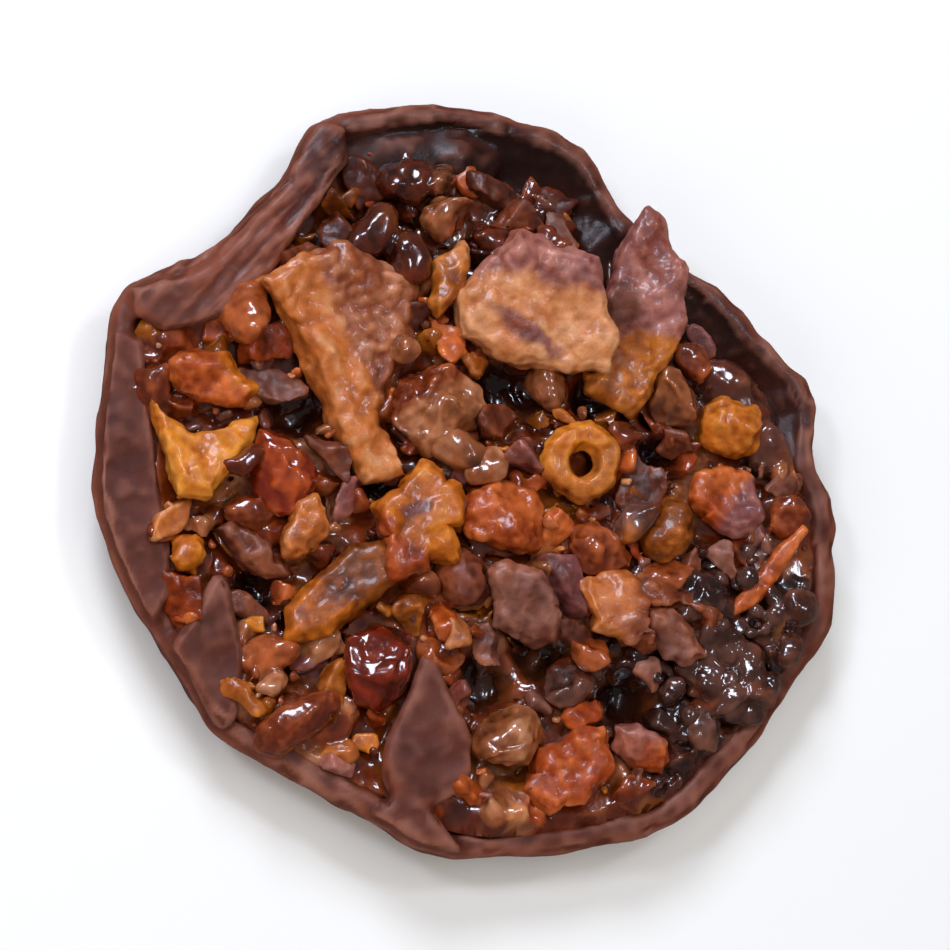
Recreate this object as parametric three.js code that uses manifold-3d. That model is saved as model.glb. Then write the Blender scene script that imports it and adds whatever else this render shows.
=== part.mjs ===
// Florentine cookie: a scalloped dish of dark chocolate filled with candied peel, nuts and caramel.
// Units are millimetres, +Z is up, and the origin is at the bottom centre of the cookie.

import * as THREE from 'three';
import { mergeVertices } from 'three/addons/utils/BufferGeometryUtils.js';
import Module from 'manifold-3d';

const wasm = await Module();
wasm.setup();

// Driving dimensions
const WIDTH = 60; // across the rim
const RIM_HEIGHT = 6.2; // mean height of the rim's crest
const RIM_WAVE = 0.5; // how far the crest rises and falls
const LIP_WIDTH = 2.1; // rounded top of the rim
const LIP_ROUNDING = 0.7;
const FOOT_INSET = 1.5; // the wall leans out by this much from foot to lip
const FOOT_ROUNDING = 0.6;
const FLOOR = 2; // chocolate under the filling
const SHELF_NARROW = 2.9; // bare chocolate inside the outline, on the well filled side
const SHELF_WIDE = 6.6; // and on the side that the filling doesn't reach
const SHELF_WIDE_ANGLE = 66; // degrees, the middle of the wide shelf
const SHELF_DROP = 1.9; // from the crest down to where the filling starts
const FILLING_EDGE = 4.9; // height of the filling at the dish's wall
const FILLING_CROWN = 6.3; // and in the middle
const SURFACE_LUMP_COUNT = 70; // small chips and nuts that make the filling's surface uneven
const SURFACE_LUMP_RADIUS = 2.6;
const SURFACE_LUMP_HEIGHT = 1.3;
const CHIP_BEVEL = 0.6; // worn edge of a chip
const CHIP_REACH = [0.86, 0.2]; // least share of the way out for a chip's corner, and the most added to it
const LUMP_REACH = [0.9, 0.16]; // the same for the points of a lump
const GOLDEN_ANGLE = Math.PI * (3 - Math.sqrt(5)); // spreads the surface lumps evenly
const GAP = 0.3; // clearance between neighbouring pieces
const RIM_STEPS = 72;
const FILLING_STEPS = 44;
const FILLING_RINGS = 9;
const TIDY = 0.03; // slivers thinner than this are merged after a cut
const FILLING_TIDY = 0.12; // the same in the filling, whose pockets are rough

// The uneven outline of the rim: angle from +X in degrees, radius in a cookie 60 mm wide.
const OUTLINE = [
  [3, 28.1], [15, 29.7], [30, 26.8], [50, 25.4], [60, 25.2], [71, 28.5], [84, 30.1], [104, 30.2],
  [116, 30.8], [125, 28.0], [138, 26.8], [156, 31.3], [166, 29.8], [184, 30.1], [206, 28.6], [222, 28.9],
  [237, 28.0], [255, 29.1], [270, 30.1], [292, 31.0], [311, 31.4], [327, 30.7], [340, 31.6], [356, 30.0],
];
const SCALLOP = 0.28; // small ripples on that outline

const COLOUR = {
  chocolate: 0x5c342b,
  flake: 0x6f493d,
  filling: 0x7a3f1f,
  peel: 0xb96a21,
  peelPale: 0xc37a3c,
  peelRed: 0xa84f1d,
  nut: 0xb4764a,
  nutPale: 0xa57459,
  caramel: 0x71260f,
  caramelPale: 0x8f5230,
  caramelDark: 0x3a1c12,
};

// Pieces that stand out of the filling. A piece gives way to those in the rows and tables before it.
// Plates with a shape of their own: name, colour, middle, thickness, lean about X and Y, and corners.
const SLABS = [
  ['peel_long_slab', 'peelPale', [-11, 8, 7.1], 3.4, [0, 11],
    [[-6.2, 5.8], [-0.8, 8.4], [4.8, 6.4], [5.2, 1.6], [2.2, -3.4], [4.7, -7.8], [1.9, -8.4], [-2.2, -0.6]]],
  ['nut_large', 'nut', [4.2, 13.6, 7.5], 3.6, [9, -5],
    [[-1.1, 5.6], [4.8, 3.4], [6.3, -2.7], [5.4, -4.8], [-0.9, -4.8], [-6.1, -3.1], [-5.6, 0.6]]],
  ['peel_folded', 'nutPale', [13.1, 13.2, 7.4], 2.4, [8, -14],
    [[0.4, 8.2], [2.4, 6.8], [3.5, 2.7], [2.6, -2.7], [-0.6, -7.8], [-4.2, -5.6], [-1.8, 5.3]]],
  ['peel_tooth', 'peel', [-21.8, 1.2, 7.2], 2.8, [-10, 6],
    [[-4.2, 3.5], [-0.6, 0.9], [4.4, 2.4], [2.8, -2], [0.5, -4.8], [-1.8, -4.2], [-2.8, -0.6]]],
];

// Broken chips: name, colour, middle, [length, width, thickness], turn from +X, lean along and across.
const CHIPS = [
  ['peel_leaf_left', 'peelRed', [-21.4, 6.6, 6.9], [7, 4.6, 2], -14, [14, 0]],
  ['peel_sliver_top', 'peel', [-2.7, 15.2, 7.3], [7.2, 3.2, 2], 72, [0, 8]],
  ['peel_amber_rim', 'peelRed', [-0.8, 24, 5.3], [4, 2.6, 1.5], -62, [20, 0]],
  ['nut_chip_left', 'nut', [-13.8, -5.1, 7], [6, 3.9, 2.2], 62, [-12, 0]],
  ['chocolate_flake_left', 'flake', [-17.6, -7, 6.2], [7.4, 2.8, 1.8], -33, [0, 6]],
  ['peel_bar', 'peel', [-10.8, -9.7, 7], [11.6, 4.6, 2.4], 40, [-9, 0]],
  ['peel_star', 'peelPale', [-4.6, -4.4, 7.5], [8.6, 6.6, 2.6], 66, [-6, 6]],
  ['peel_flap_right', 'peelRed', [20.3, -1.6, 7], [6.6, 5.2, 1.9], -24, [-14, 8]],
  ['peel_strip_right', 'peelRed', [23.7, -7.2, 7], [11.4, 2.3, 1.9], 52, [0, -5]],
  ['chocolate_flake_ridge', 'flake', [15.4, -12.4, 7.9], [6.4, 3.8, 1.7], -36, [10, 0]],
  ['peel_crumbly_ridge', 'peelPale', [13.3, -10.9, 6.9], [11.6, 5.8, 3], -12, [-8, 0]],
  ['chocolate_flake_middle', 'flake', [3.4, -10.4, 7.4], [7.6, 5.6, 1.8], -58, [8, 8]],
  ['peel_chunk_bottom', 'peelRed', [7.2, -23.4, 6.9], [8.6, 6, 3.2], 34, [-12, 0]],
  ['peel_curl_bottom', 'nutPale', [13, -21.2, 6.9], [6, 3.6, 2.2], -34, [14, 0]],
];

// A ring cut from thin peel, in the same columns.
const RINGS = [
  ['peel_ring', 'peel', [8, 1, 7.4], [6.7, 6.7, 2.3], 0, [8, 4]],
];

// Rounded nuts and lumps of set caramel, in the same columns.
const LUMPS = [
  ['caramel_ball_left', 'caramel', [-15.7, -0.6, 6.7], [5.2, 7, 4.6], 0, [0, 0]],
  ['caramel_centre', 'caramelPale', [-3.6, 4.9, 7], [7.6, 7.6, 4.4], 0, [0, 0]],
  ['caramel_bead_top', 'caramelPale', [-3, 20.2, 7], [4.8, 4.6, 4.2], 0, [0, 0]],
  ['peel_red_lump', 'peelRed', [1.8, -3.8, 7.1], [7, 5.6, 4], -12, [0, 0]],
  ['caramel_bead_right', 'caramelPale', [15.6, 6.2, 6.5], [4.4, 4.2, 3.6], 0, [0, 0]],
  ['peel_drop_right', 'peel', [20.6, 4.6, 6.5], [5.8, 5.8, 4.4], 0, [0, 0]],
  ['caramel_amber_right', 'peel', [15.3, -4.1, 6.7], [4.6, 5.8, 4], -20, [0, 0]],
  ['caramel_bead_brown', 'caramelPale', [9.6, -5.9, 6.8], [5, 4.8, 3.8], 0, [0, 0]],
  ['chocolate_chunk_middle', 'chocolate', [-1.2, -8.6, 6.7], [4.4, 5.2, 3.4], 20, [0, 0]],
  ['caramel_ball_bottom', 'caramel', [-7.9, -15.2, 6.8], [6.4, 6.8, 4.8], 0, [0, 0]],
  ['caramel_bead_dark', 'caramelDark', [7.2, -16.4, 6.2], [4.6, 4, 3.2], 0, [0, 0]],
  ['caramel_amber_bottom', 'caramelPale', [2.2, -20.6, 6.6], [5.4, 5.2, 4], 0, [0, 0]],
  ['caramel_mass_right', 'caramelDark', [20, -15.8, 6], [7.6, 8.4, 4], 40, [0, 0]],
  ['peel_drop_left', 'peel', [-22.6, -7.2, 6], [3.6, 3.4, 3], 0, [0, 0]],
];

// Tongues of chocolate that run from the rim over the filling, the fold along the rim beside the notch,
// and the broad lip on the left: closed outlines, seen from above, and the height of their middle.
const TONGUE_THICKNESS = 1.5;
const TONGUE_STEPS = 20;
const TONGUES = [
  {
    height: 6.7,
    route: [
      [-10.6, -28.4], [-7.2, -26], [-7.9, -22.4], [-6.2, -18.4], [-4.1, -13.6],
      [-2.2, -17.4], [-0.3, -21.6], [-1.2, -25], [-3.8, -26.3], [-1, -29.4],
    ],
  },
  {
    height: 6.5,
    route: [[-24.2, -15], [-22.2, -11.6], [-20.4, -8.2], [-18.9, -12], [-18.1, -16.4], [-19.6, -20.6]],
  },
  {
    height: 6.9,
    route: [
      [-13.4, 28], [-10.4, 26.4], [-13.2, 20.6], [-16.4, 15.6], [-19.6, 11.6],
      [-25.6, 9.6], [-28, 12.6], [-21.6, 15.4], [-17.6, 20.4],
    ],
  },
  {
    height: 5.95,
    route: [
      [-31, 9], [-27, 10.2], [-26, 6], [-24.9, 0.4], [-24.4, -4.6], [-23.8, -10], [-26.4, -14], [-31, -8],
    ],
  },
];
const TONGUE_INSET = 0.5; // a tongue ends this far inside the rim's outline

const radians = THREE.MathUtils.degToRad;

// A repeatable stream of numbers from 0 to 1.
function randomFrom(seed) {
  let state = seed;
  return () => {
    state = (state * 16807) % 2147483647;
    return state / 2147483647;
  };
}

// The rim's outline as points at equal spacing, rippled, and scaled to WIDTH across.
function outlinePoints(steps) {
  const corners = OUTLINE.map(([angle, radius]) => (
    new THREE.Vector3(radius, 0, 0).applyAxisAngle(new THREE.Vector3(0, 0, 1), radians(angle))
  ));
  const curve = new THREE.CatmullRomCurve3(corners, true, 'centripetal');
  const points = curve.getSpacedPoints(steps).slice(0, steps);
  for (const point of points) {
    const angle = Math.atan2(point.y, point.x);
    const ripple = Math.sin(11 * angle + 1) + 0.6 * Math.sin(19 * angle + 2);
    point.setLength(point.length() + SCALLOP * ripple);
  }
  const box = new THREE.Box3().setFromPoints(points);
  const middle = box.getCenter(new THREE.Vector3());
  const scale = WIDTH / box.getSize(new THREE.Vector3()).x;
  return points.map((point) => point.sub(middle).multiplyScalar(scale));
}

// The same point moved in towards the middle, at a given height.
function inside(point, inset, height) {
  const moved = point.clone().setLength(point.length() - inset);
  return moved.setZ(height);
}

function crestHeight(point) {
  const angle = Math.atan2(point.y, point.x);
  return RIM_HEIGHT + RIM_WAVE * (0.6 * Math.sin(3 * angle + 0.4) + 0.4 * Math.sin(7 * angle + 1.9));
}

// Width of the bare chocolate between the outline and the filling.
function shelfWidth(point) {
  const turn = Math.atan2(point.y, point.x) - radians(SHELF_WIDE_ANGLE);
  const share = Math.max(0, Math.cos(turn)) ** 1.3;
  return SHELF_NARROW + (SHELF_WIDE - SHELF_NARROW) * share;
}

// Closed skin over a stack of rings of points, with a fan to the middle of the first and last ring.
function skin(rings) {
  const steps = rings[0].length;
  const points = rings.flat();
  const faces = [];
  for (let ring = 1; ring < rings.length; ring += 1) {
    for (let step = 0; step < steps; step += 1) {
      const next = (step + 1) % steps;
      const low = (ring - 1) * steps;
      const high = ring * steps;
      faces.push(low + step, low + next, high + next);
      faces.push(low + step, high + next, high + step);
    }
  }
  const top = (rings.length - 1) * steps;
  for (let step = 0; step < steps; step += 1) {
    const next = (step + 1) % steps;
    faces.push(points.length, next, step);
    faces.push(points.length + 1, top + step, top + next);
  }
  points.push(new THREE.Vector3(0, 0, rings[0][0].z), new THREE.Vector3(0, 0, rings.at(-1)[0].z));
  const geometry = new THREE.BufferGeometry().setFromPoints(points);
  geometry.setIndex(faces);
  return geometry;
}

// The dish: foot, wall, rounded lip, inner slope and floor. The inner faces grow by grow.
function dishGeometry(grow = 0) {
  const outline = outlinePoints(RIM_STEPS);
  const section = (point) => {
    const crest = crestHeight(point);
    const shelf = shelfWidth(point);
    const slope = crest - SHELF_DROP;
    return [
      [FOOT_INSET + FOOT_ROUNDING, 0],
      [FOOT_INSET, FOOT_ROUNDING],
      [FOOT_INSET / 3, crest / 2],
      [0, crest - LIP_ROUNDING],
      [LIP_ROUNDING / 3, crest - LIP_ROUNDING / 3],
      [LIP_ROUNDING, crest + grow],
      [LIP_WIDTH - LIP_ROUNDING / 2 + grow, crest + grow],
      [LIP_WIDTH + grow, crest - LIP_ROUNDING / 2 + grow],
      [(LIP_WIDTH + shelf) / 2 + grow, (crest + slope) / 2 - LIP_ROUNDING / 2 + grow],
      [shelf + grow, slope + grow],
      [shelf + 1 + grow, (slope + FLOOR) / 2 + grow],
      [shelf + 2.4 + grow, FLOOR + grow],
    ];
  };
  const ringCount = section(outline[0]).length;
  const rings = [];
  for (let ring = 0; ring < ringCount; ring += 1) {
    rings.push(outline.map((point) => inside(point, ...section(point)[ring])));
  }
  return skin(rings);
}

// Seeded lumps over the filling: middle, radius and height of each.
function fillingLumps() {
  const random = randomFrom(4021);
  const lumps = [];
  for (let n = 0; n < SURFACE_LUMP_COUNT; n += 1) {
    const angle = n * GOLDEN_ANGLE;
    const reach = (WIDTH / 2 - SHELF_NARROW) * Math.sqrt((n + 0.5) / SURFACE_LUMP_COUNT);
    lumps.push({
      x: reach * Math.cos(angle),
      y: reach * Math.sin(angle),
      radius: SURFACE_LUMP_RADIUS * (0.7 + 0.6 * random()),
      height: SURFACE_LUMP_HEIGHT * (0.3 + 0.7 * random()),
    });
  }
  return lumps;
}

const SURFACE_LUMPS = fillingLumps();

function fillingHeight(x, y, share) {
  const dome = FILLING_EDGE + (FILLING_CROWN - FILLING_EDGE) * (1 - share ** 4);
  let rise = 0;
  for (const one of SURFACE_LUMPS) {
    const away = Math.hypot(x - one.x, y - one.y) / one.radius;
    rise = Math.max(rise, one.height * (1 - away * away));
  }
  return dome + rise;
}

// The heap of small chips and nuts, set in caramel, before the dish and the larger pieces are cut out of it.
function fillingGeometry() {
  const outline = outlinePoints(FILLING_STEPS);
  const edge = outline.map((point) => inside(point, shelfWidth(point) - 0.8, 0));
  const bottom = edge.map((point) => point.clone().setZ(FLOOR - GAP));
  const rings = [bottom];
  for (let ring = FILLING_RINGS; ring > 0; ring -= 1) {
    const share = ring / FILLING_RINGS;
    rings.push(edge.map((point) => {
      const moved = point.clone().multiplyScalar(share);
      return moved.setZ(fillingHeight(moved.x, moved.y, share));
    }));
  }
  return skin(rings);
}

// A plate with the given corners, as thick as asked, with worn edges, that grows by grow all round.
function plate(corners, thickness, grow, worn = CHIP_BEVEL) {
  const shape = new THREE.Shape(corners.map(([x, y]) => new THREE.Vector2(x, y)));
  const bevel = Math.min(worn, thickness / 3);
  const depth = thickness - 2 * bevel + 2 * grow;
  const geometry = new THREE.ExtrudeGeometry(shape, {
    depth, steps: 1, curveSegments: 4,
    bevelEnabled: true, bevelSegments: 1, bevelThickness: bevel, bevelSize: bevel, bevelOffset: grow - bevel,
  });
  return geometry.translate(0, 0, -depth / 2);
}

// A broken piece of peel, nut or chocolate with an irregular outline of its own.
function chip([length, width, thickness], seed, grow) {
  const random = randomFrom(seed);
  const count = length > 2 * width ? 6 : 7;
  const corners = [];
  for (let n = 0; n < count; n += 1) {
    const angle = 2 * Math.PI * (n + 0.5 * random()) / count;
    const reach = 0.5 * (CHIP_REACH[0] + CHIP_REACH[1] * random());
    corners.push([length * reach * Math.cos(angle), width * reach * Math.sin(angle)]);
  }
  return plate(corners, thickness, grow, Math.min(CHIP_BEVEL, width / 6));
}

// A rounded, slightly uneven lump of nut or set caramel.
function lump(size, seed, grow) {
  const random = randomFrom(seed);
  const geometry = mergeVertices(bare(new THREE.IcosahedronGeometry(1, 1)));
  const place = geometry.getAttribute('position');
  const point = new THREE.Vector3();
  for (let n = 0; n < place.count; n += 1) {
    point.fromBufferAttribute(place, n).multiplyScalar(LUMP_REACH[0] + LUMP_REACH[1] * random());
    place.setXYZ(n, point.x, point.y, point.z);
  }
  const [length, width, thickness] = size.map((side) => side / 2 + grow);
  return geometry.scale(length, width, thickness);
}

function peelRing([width, , thickness], seed, grow) {
  return new THREE.TorusGeometry((width - thickness) / 2, thickness / 2 + grow, 6, 14);
}

// Only the positions of a geometry, so that its shared vertices can be merged.
function bare(geometry) {
  geometry.deleteAttribute('normal');
  geometry.deleteAttribute('uv');
  return geometry;
}

function toSolid(geometry, matrix = new THREE.Matrix4()) {
  const merged = mergeVertices(bare(geometry.clone().applyMatrix4(matrix)));
  return new wasm.Manifold(new wasm.Mesh({
    numProp: 3,
    vertProperties: new Float32Array(merged.getAttribute('position').array),
    triVerts: new Uint32Array(merged.getIndex().array),
  }));
}

function toGeometry(solid) {
  const { vertProperties, triVerts } = solid.getMesh();
  const geometry = new THREE.BufferGeometry();
  geometry.setAttribute('position', new THREE.BufferAttribute(new Float32Array(vertProperties), 3));
  geometry.setIndex(new THREE.BufferAttribute(new Uint32Array(triVerts), 1));
  return geometry;
}

// The largest body of a solid: small offcuts are left out.
function mainBody(solid, tidy = TIDY) {
  const bodies = solid.decompose();
  bodies.sort((one, other) => other.volume() - one.volume());
  return bodies[0].simplify(tidy);
}

// Where a topping lies, as a matrix: it leans in its own axes and is then turned about Z.
function placeOf(middle, turn, [alongLean, acrossLean]) {
  const place = new THREE.Object3D();
  place.position.set(...middle);
  place.rotation.set(radians(alongLean), radians(acrossLean), radians(turn), 'ZYX');
  place.updateMatrix();
  return place.matrix;
}

// Every topping as its name, colour, place and a function that gives its geometry, grown as asked.
function allToppings() {
  const slabs = SLABS.map(([name, colour, middle, thickness, lean, corners]) => ({
    name, colour, place: placeOf(middle, 0, lean), form: (grow) => plate(corners, thickness, grow),
  }));
  const seeded = (rows, form, seed) => rows.map(([name, colour, middle, size, turn, lean], n) => ({
    name, colour, place: placeOf(middle, turn, lean), form: (grow) => form(size, seed + 7919 * n, grow),
  }));
  return [...slabs, ...seeded(CHIPS, chip, 311), ...seeded(RINGS, peelRing, 1), ...seeded(LUMPS, lump, 577)];
}

// A tongue, cut off just inside the rim's outline.
function tongueSolid(tongue, grow = 0) {
  const route = tongue.route.map(([x, y]) => new THREE.Vector3(x, y, 0));
  const curve = new THREE.CatmullRomCurve3(route, true, 'centripetal');
  const smooth = curve.getSpacedPoints(TONGUE_STEPS).slice(0, TONGUE_STEPS);
  const geometry = plate(smooth.map((point) => [point.x, point.y]), TONGUE_THICKNESS, grow);
  const whole = toSolid(geometry, new THREE.Matrix4().makeTranslation(0, 0, tongue.height));
  const outline = outlinePoints(RIM_STEPS);
  const column = skin([0, 2 * RIM_HEIGHT].map((height) => (
    outline.map((point) => inside(point, TONGUE_INSET, height))
  )));
  return whole.intersect(toSolid(column));
}

function meshOf(name, solid, colour, roughness, matrix = new THREE.Matrix4()) {
  const geometry = toGeometry(solid).applyMatrix4(matrix.clone().invert());
  geometry.computeVertexNormals();
  const material = new THREE.MeshStandardMaterial({ color: COLOUR[colour], roughness, metalness: 0 });
  const mesh = new THREE.Mesh(geometry, material);
  mesh.name = name;
  mesh.applyMatrix4(matrix);
  return mesh;
}

// The dish and its tongues are one piece of chocolate. keepOut is the room that it takes up.
let base = toSolid(dishGeometry());
let keepOut = toSolid(dishGeometry(GAP));
for (const tongue of TONGUES) {
  base = base.add(tongueSolid(tongue));
  keepOut = keepOut.add(tongueSolid(tongue, GAP));
}

const toppings = new THREE.Group();
for (const { name, colour, place, form } of allToppings()) {
  const solid = mainBody(toSolid(form(0), place).subtract(keepOut));
  toppings.add(meshOf(name, solid, colour, 0.35, place));
  keepOut = keepOut.add(toSolid(form(GAP), place));
}

const florentine = new THREE.Group();
florentine.add(meshOf('chocolate_base', mainBody(base), 'chocolate', 0.45));
const filling = mainBody(toSolid(fillingGeometry()).subtract(keepOut), FILLING_TIDY);
florentine.add(meshOf('nut_caramel_layer', filling, 'filling', 0.3));
florentine.add(toppings);

export default florentine;
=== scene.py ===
"""Looks of the florentine cookie: satin dark chocolate, candied peel, nuts and glossy caramel.

Shapes are worked out in millimetres on numpy arrays and turned into metres when a mesh is made.
"""

import math

import bmesh
import bpy
import numpy as np
from mathutils import Matrix, Vector
from mathutils.bvhtree import BVHTree


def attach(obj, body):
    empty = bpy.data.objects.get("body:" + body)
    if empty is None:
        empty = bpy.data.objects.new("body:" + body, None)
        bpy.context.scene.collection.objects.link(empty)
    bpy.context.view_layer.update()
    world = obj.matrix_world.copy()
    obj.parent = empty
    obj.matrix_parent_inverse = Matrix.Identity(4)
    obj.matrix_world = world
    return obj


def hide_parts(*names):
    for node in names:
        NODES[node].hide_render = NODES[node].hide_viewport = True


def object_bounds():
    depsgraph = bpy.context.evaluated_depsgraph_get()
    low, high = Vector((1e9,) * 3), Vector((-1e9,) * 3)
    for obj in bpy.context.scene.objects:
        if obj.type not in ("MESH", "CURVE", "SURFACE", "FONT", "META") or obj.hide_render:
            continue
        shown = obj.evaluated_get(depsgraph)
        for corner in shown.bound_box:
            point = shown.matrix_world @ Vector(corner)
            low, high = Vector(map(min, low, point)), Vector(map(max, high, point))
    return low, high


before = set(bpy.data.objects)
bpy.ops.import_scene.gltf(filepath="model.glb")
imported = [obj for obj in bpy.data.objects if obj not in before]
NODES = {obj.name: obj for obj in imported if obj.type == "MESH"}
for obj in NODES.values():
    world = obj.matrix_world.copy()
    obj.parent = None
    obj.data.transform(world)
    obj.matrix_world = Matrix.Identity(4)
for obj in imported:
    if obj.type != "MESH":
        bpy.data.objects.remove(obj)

CAD_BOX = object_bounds()
MM = 0.001
BASE = "chocolate_base"
HEAP = "nut_caramel_layer"
TOPPINGS = sorted(set(NODES) - {BASE, HEAP})

# Sizes in millimetres
BASE_VOXEL = 0.29
HEAP_VOXEL = 0.23
TOPPING_VOXEL = 0.2
CLUSTER_VOXEL = 0.16
CHIPS_VOXEL = 0.19
CRUMBS_VOXEL = 0.12
HEAP_KEPT = 0.52  # share of the filling's triangles that is kept
HIDDEN_BELOW = 3.4  # the filling's underside and the dish's floor, which nothing shows
COLLAR = 0.35  # caramel creeps up the toppings this far out from them

# Colours as seen in soft light, each kind from dark to light
PALETTE = {
    "chocolate": [(28, 11, 7), (74, 30, 19), (126, 64, 44)],
    "flake": [(44, 20, 15), (96, 50, 36), (150, 96, 78)],
    "peel": [(104, 42, 4), (184, 94, 12), (222, 144, 50)],
    "peel_pale": [(120, 50, 15), (188, 102, 42), (212, 150, 98)],
    "peel_amber": [(70, 26, 3), (138, 68, 10), (204, 120, 44)],
    "peel_red": [(76, 20, 4), (152, 58, 14), (214, 112, 52)],
    "nut": [(104, 46, 22), (180, 102, 50), (212, 146, 98)],
    "crumb": [(70, 26, 11), (132, 64, 33), (190, 122, 84)],
    "nut_skin": [(62, 28, 26), (116, 60, 54), (176, 112, 96)],
    "caramel": [(40, 10, 3), (104, 36, 10), (172, 86, 40)],
    "caramel_red": [(48, 8, 2), (118, 30, 6), (182, 78, 30)],
    "caramel_pale": [(70, 30, 12), (146, 80, 42), (206, 144, 104)],
    "caramel_brown": [(34, 16, 11), (88, 48, 36), (150, 104, 88)],
    "caramel_dark": [(16, 7, 5), (50, 23, 16), (112, 70, 56)],
}

# ---- noise


def lattice(i, seed):
    """A repeatable number from 0 to 1 for each whole-number place."""
    h = i[..., 0] * 374761393 + i[..., 1] * 668265263 + i[..., 2] * 974634777 + seed * 1274126177
    h = h & 0xFFFFFFFF
    h = ((h ^ (h >> 13)) * 1274126177) & 0xFFFFFFFF
    return ((h ^ (h >> 16)) & 0xFFFFFF) / 0xFFFFFF


# Turns the lattice out of the axes, so that its cells don't show on flat faces.
ASKEW = np.array(Matrix.Rotation(0.9, 3, Vector((0.6, -0.5, 0.62))))


def noise(p, scale, seed):
    """Smooth noise from -1 to 1 with features about scale millimetres wide."""
    q = p @ ASKEW / scale
    i = np.floor(q).astype(np.int64)
    f = q - i
    f = f * f * f * (f * (6 * f - 15) + 10)
    total = 0
    for corner in np.ndindex(2, 2, 2):
        c = np.array(corner)
        weight = np.prod(np.where(c, f, 1 - f), axis=-1)
        total = total + weight * lattice(i + c, seed)
    return 2 * total - 1


def fbm(p, scale, seed, octaves=3):
    """Noise of several widths from scale millimetres down, each half as wide and half as strong."""
    total = 0
    for n in range(octaves):
        p = p @ ASKEW
        total = total + noise(p, scale / 2**n, seed + 31 * n) / 2**n
    return total / 1.6


def cells(p, scale, seed):
    """Distances to the nearest and second nearest of scattered points, and a number for the nearest."""
    q = p / scale
    base = np.floor(q).astype(np.int64)
    near = np.full(len(p), 9.0)
    second = np.full(len(p), 9.0)
    label = np.zeros(len(p))
    for corner in np.ndindex(3, 3, 3):
        i = base + np.array(corner) - 1
        spot = i + np.stack([lattice(i, seed + n) for n in range(3)], axis=-1)
        away = np.linalg.norm(spot - q, axis=-1)
        closer = away < near
        second = np.where(closer, near, np.minimum(second, away))
        label = np.where(closer, lattice(i, seed + 7), label)
        near = np.where(closer, away, near)
    return near, second, label


def bumps(points, scale, seed):
    """Round bumps from 0 to 1, scale millimetres apart."""
    near, _, _ = cells(points, scale, seed)
    return np.clip(1 - near**2, 0, 1)


def mottle(points, seed):
    """Uneven tone of food: soft patches, grains and specks."""
    near, second, label = cells(points, 0.9, seed)
    grains = (label - 0.5) * np.clip(4 * (second - near), 0, 1)
    return 0.65 * fbm(points, 2.4, seed=seed + 1) + 0.25 * noise(points, 0.6, seed=seed + 2) + 0.35 * grains


def ramp(value, start, width):
    """0 up to the start, and from there rising to 1 over the width."""
    return np.clip((value - start) / width, 0, 1)


def within(value, spread=1, middle=0):
    """1 round the middle, falling softly to 0 past the spread to either side."""
    return np.exp(-(((value - middle) / spread) ** 4))


def patch(x, y, middle, half):
    """1 in an oval of a middle and half sizes, falling softly to 0 past its edge."""
    return within(np.hypot((x - middle[0]) / half[0], (y - middle[1]) / half[1]))


# ---- meshes as arrays


def values_of(items, name, wide, kind=np.int32):
    """A row of values for each of a mesh's items."""
    values = np.empty(len(items) * wide, kind)
    items.foreach_get(name, values)
    return values.reshape(-1, wide)


def arrays_of(mesh):
    """Points and faces of a Blender mesh; faces stay quads where all of them are."""
    points = values_of(mesh.vertices, "co", 3, np.float32).astype(float)
    if len(mesh.loops) == 4 * len(mesh.polygons):
        return points, values_of(mesh.loops, "vertex_index", 1).reshape(-1, 4)
    mesh.calc_loop_triangles()
    return points, values_of(mesh.loop_triangles, "vertices", 3)


def cad_arrays(name):
    """A CAD node's welded points in millimetres, and its triangles."""
    points, faces = arrays_of(NODES[name].data)
    points, back = np.unique(np.round(points / MM, 3), axis=0, return_inverse=True)
    return points, back.reshape(-1)[faces]


def reach_of(points):
    """How far the points are from the upright axis."""
    return np.hypot(points[:, 0], points[:, 1])


def angle_of(points):
    """Where the points are round the upright axis, in radians from +X."""
    return np.arctan2(points[:, 1], points[:, 0])


def joined(parts):
    """Several (points, faces) as one."""
    start = np.cumsum([0] + [len(points) for points, _ in parts])
    points = np.concatenate([points for points, _ in parts])
    return points, np.concatenate([faces + n for (_, faces), n in zip(parts, start)])


def turned(points, turn, lean, roll):
    """Points leaning about X and Y and then turned about Z, in degrees."""
    matrix = Matrix.Rotation(math.radians(turn), 3, "Z")
    matrix = matrix @ Matrix.Rotation(math.radians(roll), 3, "Y")
    matrix = matrix @ Matrix.Rotation(math.radians(lean), 3, "X")
    return points @ np.array(matrix).T


def plain_mesh(name, points, faces):
    """A Blender mesh of points and of faces that all have as many sides."""
    mesh = bpy.data.meshes.new(name)
    mesh.vertices.add(len(points))
    mesh.vertices.foreach_set("co", points.astype(np.float32).ravel())
    mesh.loops.add(faces.size)
    mesh.loops.foreach_set("vertex_index", faces.astype(np.int32).ravel())
    mesh.polygons.add(len(faces))
    mesh.polygons.foreach_set("loop_start", np.arange(0, faces.size, faces.shape[1], dtype=np.int32))
    mesh.polygons.foreach_set("use_smooth", np.ones(len(faces), bool))
    mesh.update(calc_edges=True)
    mesh.validate()
    return mesh


def placed(name, data):
    """An object in the scene."""
    made = bpy.data.objects.new(name, data)
    bpy.context.scene.collection.objects.link(made)
    return made


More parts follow.
